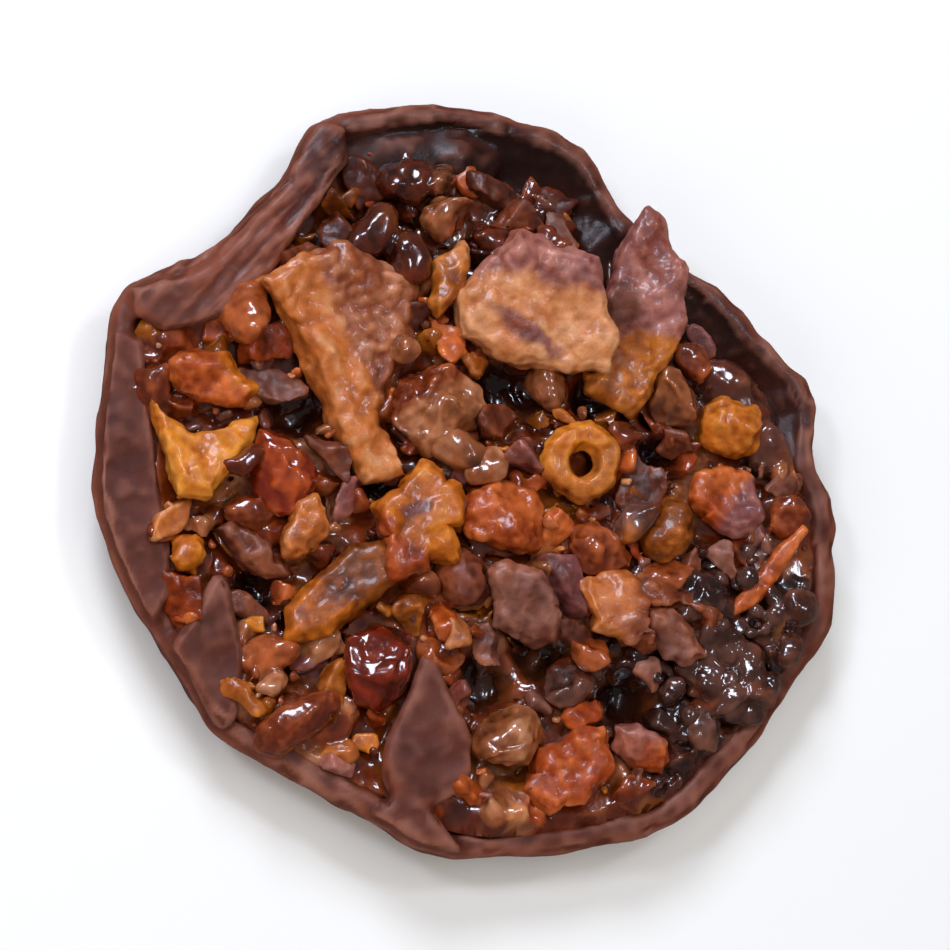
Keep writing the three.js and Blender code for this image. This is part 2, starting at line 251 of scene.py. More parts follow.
def remesh(points, faces, voxel, smooth=2, kept=1):
    """One closed skin round everything given, of quads voxel millimetres wide.

    Where kept is under 1, it is of triangles, thinned out to that share of them.
    """
    mesh = plain_mesh("work", points, faces)
    work = placed("work", mesh)
    skin = work.modifiers.new("skin", "REMESH")
    skin.mode = "VOXEL"
    skin.voxel_size = voxel
    ease = work.modifiers.new("ease", "SMOOTH")
    ease.factor = 0.5
    ease.iterations = smooth
    if kept < 1:
        fewer = work.modifiers.new("fewer", "DECIMATE")
        fewer.ratio = kept
    made = work.evaluated_get(bpy.context.evaluated_depsgraph_get()).to_mesh()
    result = arrays_of(made)
    work.to_mesh_clear()
    bpy.data.objects.remove(work)
    bpy.data.meshes.remove(mesh)
    return result


def added_up(places, rows, count):
    """The rows of each numbered place, added up."""
    return np.stack([np.bincount(places, column, count) for column in rows.T], axis=1)


def facing(points, faces):
    """The way that each face faces, as long as twice its area."""
    corners = points[faces]
    if faces.shape[1] == 4:
        return np.cross(corners[:, 2] - corners[:, 0], corners[:, 3] - corners[:, 1])
    return np.cross(corners[:, 1] - corners[:, 0], corners[:, 2] - corners[:, 0])


def normals_of(points, faces):
    """The way that the surface faces at each point."""
    across = facing(points, faces)
    total = np.zeros_like(points)
    for side in range(faces.shape[1]):
        total += added_up(faces[:, side], across, len(points))
    return total / np.maximum(np.linalg.norm(total, axis=1, keepdims=True), 1e-12)


def relax(points, faces, rounds):
    """Points moved to the average of their neighbours, some rounds of it."""
    sides = faces.shape[1]
    for _ in range(rounds):
        total = np.zeros_like(points)
        count = np.zeros(len(points))
        for side in range(sides):
            a, b = faces[:, side], faces[:, (side + 1) % sides]
            for one, other in ((a, b), (b, a)):
                count += np.bincount(one, minlength=len(points))
                total += added_up(one, points[other], len(points))
        points = total / np.maximum(count, 1)[:, None]
    return points


def worn_lit_edges_and_shaded_creases(points, faces):
    """How far each point stands out of its neighbours: 1 on a sharp edge, -1 in a crease. Callers use it to
    paint edges lighter, partly as wear and partly as painted highlight, and creases with painted shade.
    """
    out = points - relax(points, faces, 3)
    raised = np.sum(out * normals_of(points, faces), axis=1)
    return np.clip(raised / (3 * raised.std() + 1e-9), -1, 1)


def clipped(points, faces, keep):
    """The faces whose points are all kept, and only the points that they use."""
    faces = faces[keep[faces].all(axis=1)]
    used, back = np.unique(faces, return_inverse=True)
    return points[used], back.reshape(faces.shape)


def ball(detail):
    """A ball of radius 1 with even triangles."""
    mesh = bmesh.new()
    bmesh.ops.create_icosphere(mesh, subdivisions=detail, radius=1)
    points = np.array([v.co for v in mesh.verts])
    faces = np.array([[v.index for v in f.verts] for f in mesh.faces])
    mesh.free()
    return points, faces


BALLS = {detail: ball(detail) for detail in (2, 3, 4)}


# ---- colour


def linear(colour):
    """Colours as light adds up, from colours of 0 to 255 as they are seen."""
    c = np.asarray(colour, float) / 255
    return np.where(c <= 0.04045, c / 12.92, ((c + 0.055) / 1.055) ** 2.4)


def shade(kind, tone):
    """A colour of the kind for each tone, from -1 (dark) to 1 (light)."""
    stops = linear(PALETTE[kind])
    tone = np.clip(tone, -1, 1)[:, None]
    lower = stops[1] + (stops[1] - stops[0]) * tone
    upper = stops[1] + (stops[2] - stops[1]) * tone
    return np.where(tone < 0, lower, upper)


def mix(a, b, share):
    """Colours a with a share of b at each point."""
    return a + (b - a) * np.clip(share, 0, 1)[:, None]


# ---- materials

COARSE = 6  # times as wide as the fine grain
GRAIN_IN_GLOSS = 0.25
SCATTER_BY_COLOUR = (1.0, 0.42, 0.16)  # red light goes the furthest in


def add(tree, kind, **inputs):
    """A node with some of its input sockets set; a socket value is linked when it is a socket itself."""
    node = tree.nodes.new(kind)
    for name, value in inputs.items():
        socket = node.inputs[name.replace("_", " ")]
        if isinstance(value, bpy.types.NodeSocket):
            tree.links.new(value, socket)
        else:
            socket.default_value = value
    return node


def grain(tree, place, wide_mm, detail, roughness):
    """Noise with features of a width in millimetres."""
    scale = 1 / (wide_mm * MM)
    node = add(tree, "ShaderNodeTexNoise", Vector=place, Scale=scale, Detail=detail, Roughness=roughness)
    return node.outputs["Fac"]


def mottled(tree, colour, pattern, mottle):
    """A colour made darker and lighter by a share up to mottle."""
    span = add(tree, "ShaderNodeMapRange", Value=pattern, From_Min=0.3, From_Max=0.7,
               To_Min=1 - mottle, To_Max=1 + mottle)
    scaled = add(tree, "ShaderNodeVectorMath", Vector=colour)
    scaled.operation = "SCALE"
    tree.links.new(span.outputs["Result"], scaled.inputs["Scale"])
    return scaled.outputs["Vector"]


def roughened(tree, level, pattern):
    """The mesh's own mattness with the fine grain's added."""
    gloss = add(tree, "ShaderNodeMath")
    gloss.operation = "MULTIPLY_ADD"
    tree.links.new(pattern, gloss.inputs[0])
    gloss.inputs[1].default_value = GRAIN_IN_GLOSS
    tree.links.new(level, gloss.inputs[2])
    return gloss.outputs["Value"]


def food(name, *, specular, coat, coat_roughness, grain_mm, grain_depth, mottle, scattered=0, scatter_mm=0):
    """A food surface: the mesh's own tint with a mottle, fine grain as bump, and a wet or satin gloss."""
    material = bpy.data.materials.new(name)
    material.use_nodes = True
    tree = material.node_tree
    tree.nodes.clear()
    place = add(tree, "ShaderNodeTexCoord").outputs["Object"]
    tint = add(tree, "ShaderNodeAttribute")
    tint.attribute_name = "tint"
    matt = add(tree, "ShaderNodeAttribute")
    matt.attribute_name = "matt"
    coarse = grain(tree, place, COARSE * grain_mm, 4.0, 0.6)
    fine = grain(tree, place, grain_mm, 3.0, 0.55)
    colour = mottled(tree, tint.outputs["Color"], coarse, mottle)
    gloss = roughened(tree, matt.outputs["Fac"], fine)
    rough = add(tree, "ShaderNodeBump", Height=coarse, Distance=4 * grain_depth * MM, Strength=0.5)
    bump = add(tree, "ShaderNodeBump", Height=fine, Distance=grain_depth * MM, Strength=0.6,
               Normal=rough.outputs["Normal"])
    skin = add(tree, "ShaderNodeBsdfPrincipled", Base_Color=colour, Roughness=gloss,
               Normal=bump.outputs["Normal"], Specular_IOR_Level=specular, Coat_Weight=coat,
               Coat_Roughness=coat_roughness, Coat_IOR=1.5)
    if scattered:
        skin.inputs["Subsurface Weight"].default_value = scattered
        skin.inputs["Subsurface Radius"].default_value = SCATTER_BY_COLOUR
        skin.inputs["Subsurface Scale"].default_value = scatter_mm * MM
    add(tree, "ShaderNodeOutputMaterial", Surface=skin.outputs["BSDF"])
    return material


MATERIALS = {
    "chocolate": food("chocolate_satin", specular=0.2, coat=0.1, coat_roughness=0.3,
                      grain_mm=0.16, grain_depth=0.02, mottle=0.10),
    "flake": food("chocolate_flake", specular=0.25, coat=0.15, coat_roughness=0.3,
                  grain_mm=0.14, grain_depth=0.04, mottle=0.16),
    "peel": food("peel_glazed", specular=0.3, coat=0.35, coat_roughness=0.17,
                 grain_mm=0.18, grain_depth=0.05, mottle=0.22, scattered=0.2, scatter_mm=0.9),
    "nut": food("nut_glazed", specular=0.3, coat=0.25, coat_roughness=0.2,
                grain_mm=0.18, grain_depth=0.06, mottle=0.22, scattered=0.12, scatter_mm=0.7),
    "caramel": food("caramel_glossy", specular=0.45, coat=1.0, coat_roughness=0.1,
                    grain_mm=0.3, grain_depth=0.02, mottle=0.25, scattered=0.25, scatter_mm=1.0),
}
# The surface of each kind of food: caramel_pale has caramel's, and crumb has the nuts'.
SURFACE_OF = {kind: kind.split("_")[0] for kind in PALETTE} | {"crumb": "nut"}


def piece(name, points, faces, colours, matt, surface, stands_for=()):
    """A shown piece with its own tint and mattness at each point."""
    mesh = plain_mesh(name, points * MM, faces)
    tint = mesh.color_attributes.new("tint", "FLOAT_COLOR", "POINT")
    rgba = np.concatenate([colours, np.ones((len(colours), 1))], axis=1)
    tint.data.foreach_set("color", rgba.astype(np.float32).ravel())
    level = mesh.attributes.new("matt", "FLOAT", "POINT")
    level.data.foreach_set("value", np.asarray(matt, np.float32) * np.ones(len(points), np.float32))
    mesh.materials.append(MATERIALS[surface])
    made = placed(name, mesh)
    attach(made, "root")
    if stands_for:
        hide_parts(*stands_for)


# ---- chocolate dish

FOLD_ALONG = np.array([0.63, 0.78, 0])  # the way that the fold at the upper left runs
FOLD_OUT = np.array([-0.78, 0.63, 0])
FOLD_MIDDLE = 134  # degrees from +X
FOLD_SPREAD = 20
SLOPE_MIDDLE = 62  # degrees from +X, the middle of the bare slope inside the rim
SLOPE_SPREAD = 56
FLOOR_REACH = 21  # the floor that the filling hides goes this far out
LIP_LEVEL = 4.9  # the rim's lip lies above this height
STREAK_SPACING = 1.6
# A smooth swelling under the rim at the top: middle, half sizes and turn, and the place round it that is
# painted in shade.
SHELF_MIDDLE = (-4.6, 25.8, 4.5)
SHELF_HALF = (7.4, 3.4, 1.6)
SHELF_TURN = 4
SHELF_SHADE = (10, 3.4)
SHELF_REACH = 28.5


def dish_skin():
    """The dish's skin without its hidden floor, with the swelling under the rim."""
    swelling, ball_faces = BALLS[4]
    swelling = turned(swelling * SHELF_HALF, SHELF_TURN, 0, 0) + np.array(SHELF_MIDDLE)
    points, faces = remesh(*joined([cad_arrays(BASE), (swelling, ball_faces)]), BASE_VOXEL, smooth=4)
    hidden = (reach_of(points) < FLOOR_REACH) & (points[:, 2] > 1) & (points[:, 2] < HIDDEN_BELOW)
    return clipped(points, faces, ~hidden)


def dish_zones(points, outward):
    """How much each point is on the lip, on the fold and on the bare slope inside the rim, from 0 to 1."""
    height = points[:, 2]
    angle = np.degrees(angle_of(points))
    lip = ramp(height, LIP_LEVEL, 0.9)
    fold = within(angle, FOLD_SPREAD, FOLD_MIDDLE) * ramp(height, 4.2, 1.5)
    slope = within(angle, SLOPE_SPREAD, SLOPE_MIDDLE) * np.clip(0.9 - 2 * outward, 0, 1)
    return lip, fold, slope * ramp(reach_of(points), 17, 2)


def fold_ribs(points):
    """Ribs and threads along the fold."""
    drawn = np.stack([points @ FOLD_ALONG / 6, points @ FOLD_OUT / 0.7, points[:, 2] / 3], axis=1)
    ribs = fbm(drawn + 0.3 * fbm(points, 3.0, seed=18)[:, None], 1.0, seed=8, octaves=2)
    threads = noise(drawn * (1, 2, 1), 1.0, seed=28)
    return ribs + 0.5 * threads * within(drawn[:, 0])


def dish_relief(points, outward, lip, fold, slope, ribs):
    """How far the surface stands out: waves, faint streaks round the wall, and ribs along the fold."""
    wave = points[:, 2] * 2 * math.pi / STREAK_SPACING + 4 * noise(points, 6.0, seed=3)
    streaks = np.sin(wave) * np.clip(2 * outward, 0, 1)
    push = 0.3 * fbm(points, 3.6, seed=1, octaves=2) + 0.03 * noise(points, 0.9, seed=2) + 0.05 * streaks
    push = push + fold * (0.3 * ribs + 0.25 * fbm(points, 2.4, seed=15))
    push = push + slope * (0.55 * fbm(points, 4.0, seed=6, octaves=2) + 0.04 * noise(points, 0.8, seed=7))
    push = push + lip * (0.22 * fbm(points, 2.6, seed=9, octaves=2) - 0.1)
    return push * ramp(points[:, 2], 0.4, 1.2)


def chocolate_dish():
    """The dish, chipped along its lip and lighter on the fold. Its edges are painted lighter, partly as
    wear and partly as highlight, and its ribs get painted highlights. Its outer side gets painted light,
    and its inner side, the bare slope and the place under the rim get painted shade.
    """
    points, faces = dish_skin()
    reach = reach_of(points)
    normal = normals_of(points, faces)
    outward = (normal[:, 0] * points[:, 0] + normal[:, 1] * points[:, 1]) / np.maximum(reach, 1)
    lip, fold, slope = dish_zones(points, outward)
    ribs = fold_ribs(points)
    points = points + normal * dish_relief(points, outward, lip, fold, slope, ribs)[:, None]
    chipped = np.clip(noise(points, 2.1, seed=10) - 0.15, 0, 1) * lip
    chipped = chipped * np.clip(3 * np.abs(outward) - 0.5, 0, 1)
    points[:, 2] = np.maximum(points[:, 2] - 0.7 * chipped, 0)

    edges = np.clip(worn_lit_edges_and_shaded_creases(points, faces), 0, 1)
    # Painted light on the outward-facing wall and painted shade on the inward-facing side; edges lighter,
    # partly as wear and partly as painted highlight.
    tone = 0.15 + 0.4 * np.clip(outward, -0.6, 0.6) + 0.5 * edges + 0.25 * fbm(points, 2.6, seed=5)
    # Painted highlights on the fold's ribs, and painted shade on the bare slope inside the rim.
    tone = tone + 0.8 * fold * ribs + 0.35 * fold - 0.9 * slope + 0.12 * fbm(points, 0.6, seed=16)
    # Painted shade on the up-facing swelling under the rim at the top.
    under_rim = patch(points[:, 0], points[:, 1], SHELF_MIDDLE, SHELF_SHADE)
    tone = tone - 0.45 * under_rim * np.clip(2 * normal[:, 2], 0, 1) * (reach < SHELF_REACH)
    # Pale dust on the lip's edges: partly chalky, worn chocolate and partly a painted highlight along the
    # crest.
    dust_and_sheen = np.clip(0.8 * lip * edges * (0.6 + fbm(points, 2.0, seed=17)), 0, 0.7)
    colours = mix(shade("chocolate", tone), shade("flake", np.full(len(tone), 0.9)), dust_and_sheen)
    matt = 0.44 + 0.1 * np.clip(outward, -0.5, 0.5) - 0.3 * slope - 0.12 * fold
    piece("chocolate_dish", points, faces, colours, matt, "chocolate", [BASE])


# ---- caramel round the pieces

EDGE_LEVEL = 4.9  # height of the filling at the rim
CROWN_LEVEL = 6.3  # and in the middle
LEVEL_REACH = 27
SPREAD = 1.035  # the caramel runs on to the rim's wall
SINK = 1.2  # between the pieces the caramel lies this far under the heap's outline


def level(points):
    """Height of the filling's general surface."""
    out = reach_of(points) / LEVEL_REACH
    return EDGE_LEVEL + (CROWN_LEVEL - EDGE_LEVEL) * np.clip(1 - out**2, 0, 1)


def glazed(colours, points, tone, surface, share=1):
    """Colours and mattness of pieces whose foot stands in darker caramel, and that some has run over."""
    under = level(points) + 0.25 + 0.6 * fbm(points, 1.8, seed=77) - points[:, 2]
    dark = shade("caramel", 0.5 * fbm(points, 1.5, seed=78) - 0.1)
    colours = mix(colours, dark, np.clip(under / 0.9, 0, 0.85))
    wet = np.clip(0.4 + 1.6 * fbm(points * np.array([1, 1, 0.5]), 3.6, seed=90), 0, 1) * share
    run = (0.1 if surface == "caramel" else 0.35) * wet
    matt = 0.08 if surface == "caramel" else 0.34 - 0.26 * wet
    return mix(colours, shade("caramel", tone + 0.5), run), matt


# ---- toppings

# Toppings of another kind than their name's first word says.
NAMES_OF = {
    "peel_pale": "peel_long_slab peel_crumbly_ridge nut_chip_left",
    "peel_red": "peel_leaf_left peel_amber_rim peel_flap_right peel_strip_right peel_chunk_bottom "
                "peel_red_lump",
    "peel_amber": "peel_folded peel_bar peel_sliver_top peel_ring caramel_amber_right",
    "nut_skin": "peel_curl_bottom",
    "chocolate": "chocolate_chunk_middle",
    "caramel": "caramel_bead_brown",
    "caramel_red": "caramel_ball_left caramel_ball_bottom",
    "caramel_dark": "caramel_bead_dark caramel_mass_right",
}
KIND_OF = {name: kind for kind, names in NAMES_OF.items() for name in names.split()}
KIND_BY_PREFIX = {"peel": "peel", "nut": "nut", "caramel": "caramel_pale", "chocolate": "flake"}

# Toppings of two kinds: the second one, the direction of its side, and how far out its border lies.
TWO_TONE = {
    "peel_long_slab": ("crumb", (0.89, 0.45), 0.2),
    "nut_large": ("nut_skin", (0.1, 0.9), 1.4),
    "peel_folded": ("nut_skin", (0.2, 0.95), -1.5),
    "peel_crumbly_ridge": ("crumb", (0.8, -0.3), -1.4),
    "peel_flap_right": ("nut_skin", (0.8, -0.5), 0.4),
    "peel_curl_bottom": ("peel_red", (0.6, -0.7), 0.2),
    "peel_star": ("peel_red", (-0.6, -0.6), 1.6),
    "peel_leaf_left": ("peel", (0.7, 0.5), 1.0),
    "peel_bar": ("peel", (-0.5, -0.8), 0.3),
    "peel_ring": ("peel", (-0.3, 0.9), 0.4),
    "peel_sliver_top": ("peel_pale", (0.3, 0.95), 1.4),
    "caramel_centre": ("caramel", (-0.6, 0.8), 1.0),
    "caramel_bead_top": ("caramel", (0.7, -0.6), 0.6),
}
# Smears on them: kind, middle, half length, half width and turn from +X.
SMEARS = {
    "nut_large": ("nut_skin", (3.4, 11.0), 3.6, 0.9, -32),
    "peel_folded": ("flake", (11.6, 13.8), 1.4, 2.2, 10),
    "peel_star": ("nut_skin", (-5.6, -3.6), 1.5, 0.7, 20),
}
# How lumpy they are, how much lighter or darker, how much wider than the solid, and how far broken up.
GRAINY = {"peel_long_slab": 0.3, "peel_crumbly_ridge": 0.4, "peel_chunk_bottom": 0.2, "peel_red_lump": 0.25,
          "nut_large": 0.06, "caramel_centre": 0.4}
TONE = {"peel_bar": -0.85, "peel_star": -0.3, "caramel_ball_bottom": -0.7, "caramel_ball_left": -0.2,
        "peel_chunk_bottom": -0.2, "nut_large": 0.25, "caramel_bead_top": -0.4, "peel_crumbly_ridge": -0.45,
        "peel_tooth": 0.1, "nut_chip_left": -0.4, "caramel_bead_right": -0.7, "caramel_amber_bottom": -0.3,
        "peel_long_slab": -0.2, "caramel_amber_right": -0.5, "caramel_centre": -0.2}
SWELL = {"peel_long_slab": 1.1, "peel_star": 1.12, "peel_red_lump": 1.12, "peel_crumbly_ridge": 1.14,
         "chocolate_flake_middle": 1.1, "peel_folded": 1.1, "nut_large": 1.06, "peel_bar": 1.08}
CALM = {"peel_bar": 0.35, "peel_ring": 0.6, "peel_strip_right": 0.5, "chocolate_flake_middle": 0.6}
# Outlines with corners: how many, how deep as a share of the reach, and the first one's turn in degrees.
POINTED = {"peel_star": (5, 0.28, 95), "peel_crumbly_ridge": (11, 0.1, 0), "peel_flap_right": (3, 0.12, 40),
           "peel_chunk_bottom": (5, 0.1, 70), "nut_chip_left": (3, 0.12, 100),
           "chocolate_flake_middle": (4, 0.1, 130)}
# The share of the caramel's gloss that these have.
DRY = {"peel_bar": 0.1, "peel_tooth": 0.4, "peel_long_slab": 0.6, "peel_star": 0.5}
CLUSTER = "caramel_mass_right"
CLUSTER_BEADS = 110
CLUSTER_RADII = (0.3, 1.0)


def kind_of(name):
    """The kind of food that a topping is."""
    return KIND_OF.get(name, KIND_BY_PREFIX[name.split("_")[0]])


def carved(points, faces, seed, facets, warp):
    """A remeshed piece made uneven: bent at large, broken into facets, and rough in the small."""
    bend = np.stack([fbm(points, 4.2, seed=seed + n) for n in range(3)], axis=1)
    points = points + warp * bend
    near, second, label = cells(points, 1.7, seed)
    step = (label - 0.5) * np.clip(3 * (second - near), 0, 1)
    push = 0.16 * fbm(points, 1.3, seed=seed + 5) + 0.05 * noise(points, 0.5, seed=seed + 6) + facets * step
    return points + normals_of(points, faces) * push[:, None]


def pointed(points, middle, count, depth, turn):
    """Points drawn out into corners round the upright axis, and drawn in between them."""
    off = points[:, :2] - middle[:2]
    phase = (np.degrees(angle_of(off)) - turn) / 360 * count
    corner = 1 - 4 * np.abs(phase - np.round(phase))
    uneven = 0.75 + 0.4 * np.sin(2.4 * np.round(phase))
    points = points.copy()
    points[:, :2] = middle[:2] + off * (1 + depth * uneven * corner)[:, None]
    return points


def beads(name, rng):
    """Beads over the cluster's upper side, and the cluster's solid shrunk to hold them up."""
    points, faces = cad_arrays(name)
    middle = points.mean(axis=0)
    across = facing(points, faces)
    upper = np.where(across[:, 2] > 0, np.linalg.norm(across, axis=1), 0)
    parts = [(middle + (points - middle) * 0.8, faces)]
    for n in rng.choice(len(faces), size=CLUSTER_BEADS, p=upper / upper.sum()):
        share = rng.dirichlet((1, 1, 1))
        radius = rng.uniform(*CLUSTER_RADII)
        ball_points, ball_faces = BALLS[2]
        place = middle + (share @ points[faces[n]] - middle) * 0.92
        parts.append((place + radius * ball_points, ball_faces))
    return joined(parts)


def cluster(name, seed):
    """The dark beaded mass at the right."""
    kind = kind_of(name)
    surface = SURFACE_OF[kind]
    points, faces = remesh(*beads(name, np.random.default_rng(seed)), CLUSTER_VOXEL, smooth=1)
    points = carved(points, faces, seed, facets=0.1, warp=0.9)
    tone = 0.7 * fbm(points, 1.5, seed=seed) + 0.3
    colours = mix(shade(kind, tone), shade("caramel", tone), fbm(points, 3.0, seed=seed + 1) - 0.1)
    piece(name + "_look", points, faces, colours, 0.05, surface, [name])


def topping_shape(name, seed, surface):
    """A topping's solid made larger and uneven, and how far each point lies on its second kind's side."""
    points, faces = remesh(*cad_arrays(name), TOPPING_VOXEL)
    middle = points.mean(axis=0)
    swell = SWELL.get(name, 1)
    points = middle + (points - middle) * (swell, swell, 1)
    if name in POINTED:
        points = pointed(points, middle, *POINTED[name])
    facets, warp = (0.05, 1.4) if surface == "caramel" else (0.35, 0.8)
    calm = CALM.get(name, 1)
    points = carved(points, faces, seed, calm * facets, calm * warp)
    side = np.zeros(len(points))
    if name in TWO_TONE:
        _, direction, border = TWO_TONE[name]
        side = (points - middle) @ np.array([*direction, 0.0]) - border
    lumps = GRAINY.get(name, 0.0) * np.clip(0.5 + side, 0.1, 1) * (bumps(points, 1.0, seed + 30) - 0.6)
    return points + normals_of(points, faces) * lumps[:, None], faces, side


def smeared(colours, points, tone, seed, smear):
    """Colours with a smear of another kind on them."""
    kind, place, long, wide, turn = smear
    turn = math.radians(turn)
    off = points[:, :2] - np.array(place)
    u = off @ np.array([math.cos(turn), math.sin(turn)]) / long
    v = off @ np.array([-math.sin(turn), math.cos(turn)]) / wide
    share = 2.2 - 2 * np.hypot(u, v) + 0.9 * fbm(points, 1.3, seed=seed + 22)
    return mix(colours, shade(kind, 0.6 * tone - 0.35), np.clip(share, 0, 0.95))


def topping(name, seed):
    """A piece of peel, nut, chocolate or caramel that has a solid of its own."""
    kind = kind_of(name)
    surface = SURFACE_OF[kind]
    points, faces, side = topping_shape(name, seed, surface)
    # Edges lighter, partly as wear and partly as painted highlight, and creases in painted shade; higher
    # points painted lighter and lower ones darker, as light falls from above.
    tone = TONE.get(name, 0) + mottle(points, seed + 9) + 0.45 * worn_lit_edges_and_shaded_creases(points, faces)
    tone = tone + 0.25 * np.clip((points[:, 2] - 6.8) / 1.5, -1, 1)
    colours = shade(kind, tone)
    if name in TWO_TONE:
        share = 0.5 + 1.2 * side + 0.9 * fbm(points, 2.0, seed=seed + 21)
        colours = mix(colours, shade(TWO_TONE[name][0], tone), share)
    if name in SMEARS:
        colours = smeared(colours, points, tone, seed, SMEARS[name])
    colours, matt = glazed(colours, points, tone, surface, DRY.get(name, 1))
    piece(name + "_look", points, faces, colours, matt, surface, [name])


# ---- filling

# Hollows between the pieces, pressed in and painted in shade: middle and reach.
PITS = [(-14.4, 4.4, 2.2), (2.6, 6.8, 2.8), (-7.2, -1.4, 1.7), (0.6, -16.4, 2.4), (5.2, -13.8, 2.4),
        (12.0, -17.4, 2.0), (14.6, 1.4, 1.8), (-17.6, -9.8, 1.8), (9.6, 6.6, 1.6)]
PIT_DEPTH = 2.2
BORDER = 2.4  # width of the caramel's border, where it slopes down on to the rim
BORDER_DROP = 0.6  # how far under the rim's top it ends
BORDER_RISE = 2.6  # how much higher it may begin
BORDER_LUMPS = 1.1
OVERLAP = 1.1  # how far the border reaches out from the heap's solid
EVENED_OUT = (-0.14, -0.07, 0, 0.07, 0.14)  # radians round a place over which the rim is averaged
EDGE_START = 21.5  # from here to the rim the filling stands higher than the heap's solid
EDGE_WIDTH = 3
# Where the filling runs up on to the rim: middle and half width in degrees.
BRIMFUL = [(-22, 36), (-78, 16), (-128, 14)]
OPEN_SPREAD = 50  # degrees to either side of the bare slope's middle
SHADED = ((-5, 20), (14, 6))  # middle and half sizes of the place between the fold and the top that is painted in shade
DARK_SIDE = ((20, -15.5), (9.5, 8.5))  # of the place at the lower right


def brim(x, y):
    """1 where the filling runs up onto the rim, and 0 well away from there."""
    angle = np.degrees(np.arctan2(y, x))
    return sum(within(angle, wide, middle) for middle, wide in BRIMFUL)


def open_side(x, y):
    """1 on the side where the dish's slope is bare."""
    return within(np.degrees(np.arctan2(y, x)), OPEN_SPREAD, SLOPE_MIDDLE)


def darkness(x, y):
    """How much darker the caramel is at the lower right, from 0 up."""
    return 0.85 * patch(x, y, *DARK_SIDE)


def lift(x, y):
    """How much higher than the heap's solid the filling stands near the rim, and how near that is."""
    edge = ramp(np.hypot(x, y), EDGE_START, EDGE_WIDTH) * (1 - open_side(x, y))
    return (0.5 + 1.1 * brim(x, y)) * edge, edge


def widest_by_angle(points, values, angle):
    """The largest of the values at points all round the middle, evened out, at the angles asked for."""
    steps = np.round(angle_of(points), 1)
    places = np.unique(steps)
    widest = [values[steps == place].max() for place in places]
    near = [np.interp(angle + by, places, widest, period=2 * math.pi) for by in EVENED_OUT]
    return np.mean(near, axis=0)


def settled_on_rim(points):
    """Points of the filling near the rim, brought down towards it the more the further out they are."""
    angle = angle_of(points)
    heap, _ = cad_arrays(HEAP)
    base, _ = cad_arrays(BASE)
    furthest = widest_by_angle(heap, reach_of(heap), angle) + OVERLAP
    rim = widest_by_angle(base, base[:, 2], angle)
    out = reach_of(points)
    over = np.clip((out - furthest + BORDER) / BORDER, 0, 1)
    lumps = BORDER_LUMPS * noise(points, 1.5, seed=31) * np.clip(2 - 2 * over, 0, 1)
    most = rim - BORDER_DROP + BORDER_RISE * (1 - over) + lumps
    above = np.maximum(points[:, 2] - most, 0)
    points = points * np.minimum(1, furthest / np.maximum(out, 1))[:, None] ** (1, 1, 0)
    points[:, 2] -= above * (1 - (1 - over) ** 2)
    return points


def shaded(points):
    """How much painted shade lies between the fold and the top: from 0 to 1."""
    return patch(points[:, 0], points[:, 1], *SHADED)


def pit(x, y):
    """How far a place lies in one of the hollows between the pieces, which are painted in shade, from 0 to
    1.
    """
    share = 0
    for a, b, radius in PITS:
        share = share + within(np.hypot(x - a, y - b), radius)
    return np.minimum(share, 1)


def collar(points, faces, by, under):
    """Caramel that creeps up a piece: the piece made larger, up to under the filling's surface."""
    middle = points.mean(axis=0)
    span = np.ptp(points, axis=0) / 2
    points = middle + (points - middle) * (1 + by / np.maximum(span, 0.6))
    top = level(points) - under + 0.5 * fbm(points, 2.5, seed=4)
    points[:, 2] = np.minimum(points[:, 2], top)
    return points, faces


def heap_spread():
    """The heap's solid run on to the rim's wall, and sunk between the pieces."""
    points, faces = cad_arrays(HEAP)
    x, y = points[:, 0], points[:, 1]
    more, edge = lift(x, y)
    sides = 1 - 0.7 * open_side(x, y) + 0.9 * brim(x, y)
    spread = (SPREAD - 1) * ramp(np.hypot(x, y), 18, 6) * sides
    up = ramp(points[:, 2], 3.9, 0.6)
    points = points * np.stack([1 + spread, 1 + spread, np.ones(len(points))], axis=1)
    points[:, 2] += up * (more - SINK * (1 - edge))
    return points, faces


def filling_skin(chips, bits):
    """One skin round the heap, the collars of the pieces and the bits in it, with hollows pressed in."""
    parts = [heap_spread()]
    parts += [collar(*cad_arrays(name), COLLAR, 0.15) for name in TOPPINGS]
    parts += [collar(p, f, 0.25, 0.35) for _, p, f in chips]
    parts += [(p, f) for _, p, f in bits]
    points, faces = remesh(*joined(parts), HEAP_VOXEL, smooth=1, kept=HEAP_KEPT)
    points, faces = clipped(points, faces, points[:, 2] > HIDDEN_BELOW)
    hollow = pit(points[:, 0], points[:, 1])
    points[:, 2] -= PIT_DEPTH * hollow * ramp(points[:, 2], HIDDEN_BELOW, 1.5)
    return points, faces, hollow


def filling_colours(points, tone):
    """Caramel swirled with pale caramel, chocolate and amber."""
    colours = shade("caramel", tone)
    swirl = fbm(points + 1.5 * fbm(points, 3.0, seed=21)[:, None], 4.0, seed=19)
    colours = mix(colours, shade("caramel_pale", tone), 2.5 * swirl - 0.2)
    colours = mix(colours, shade("chocolate", tone), -2.5 * swirl - 0.4)
    return mix(colours, shade("peel_amber", tone), 3 * fbm(points, 3.4, seed=23) - 0.9)


def colour_bits(colours, points, tone, bits):
    """The bits in the filling get their own colours; returns 1 on them and 0 elsewhere."""
    share = np.zeros(len(points))
    for n, (kind, p, _) in enumerate(bits):
        away = np.linalg.norm((points - p.mean(axis=0)) / (np.ptp(p, axis=0) / 2 + 0.15), axis=1)
        mine = away < 1.25
        own = shade(kind, tone[mine] + 0.3 * math.sin(7 * n))
        colours[mine] = mix(colours[mine], own, 4.5 - 4 * away[mine])
        share[mine] = 1
    return share


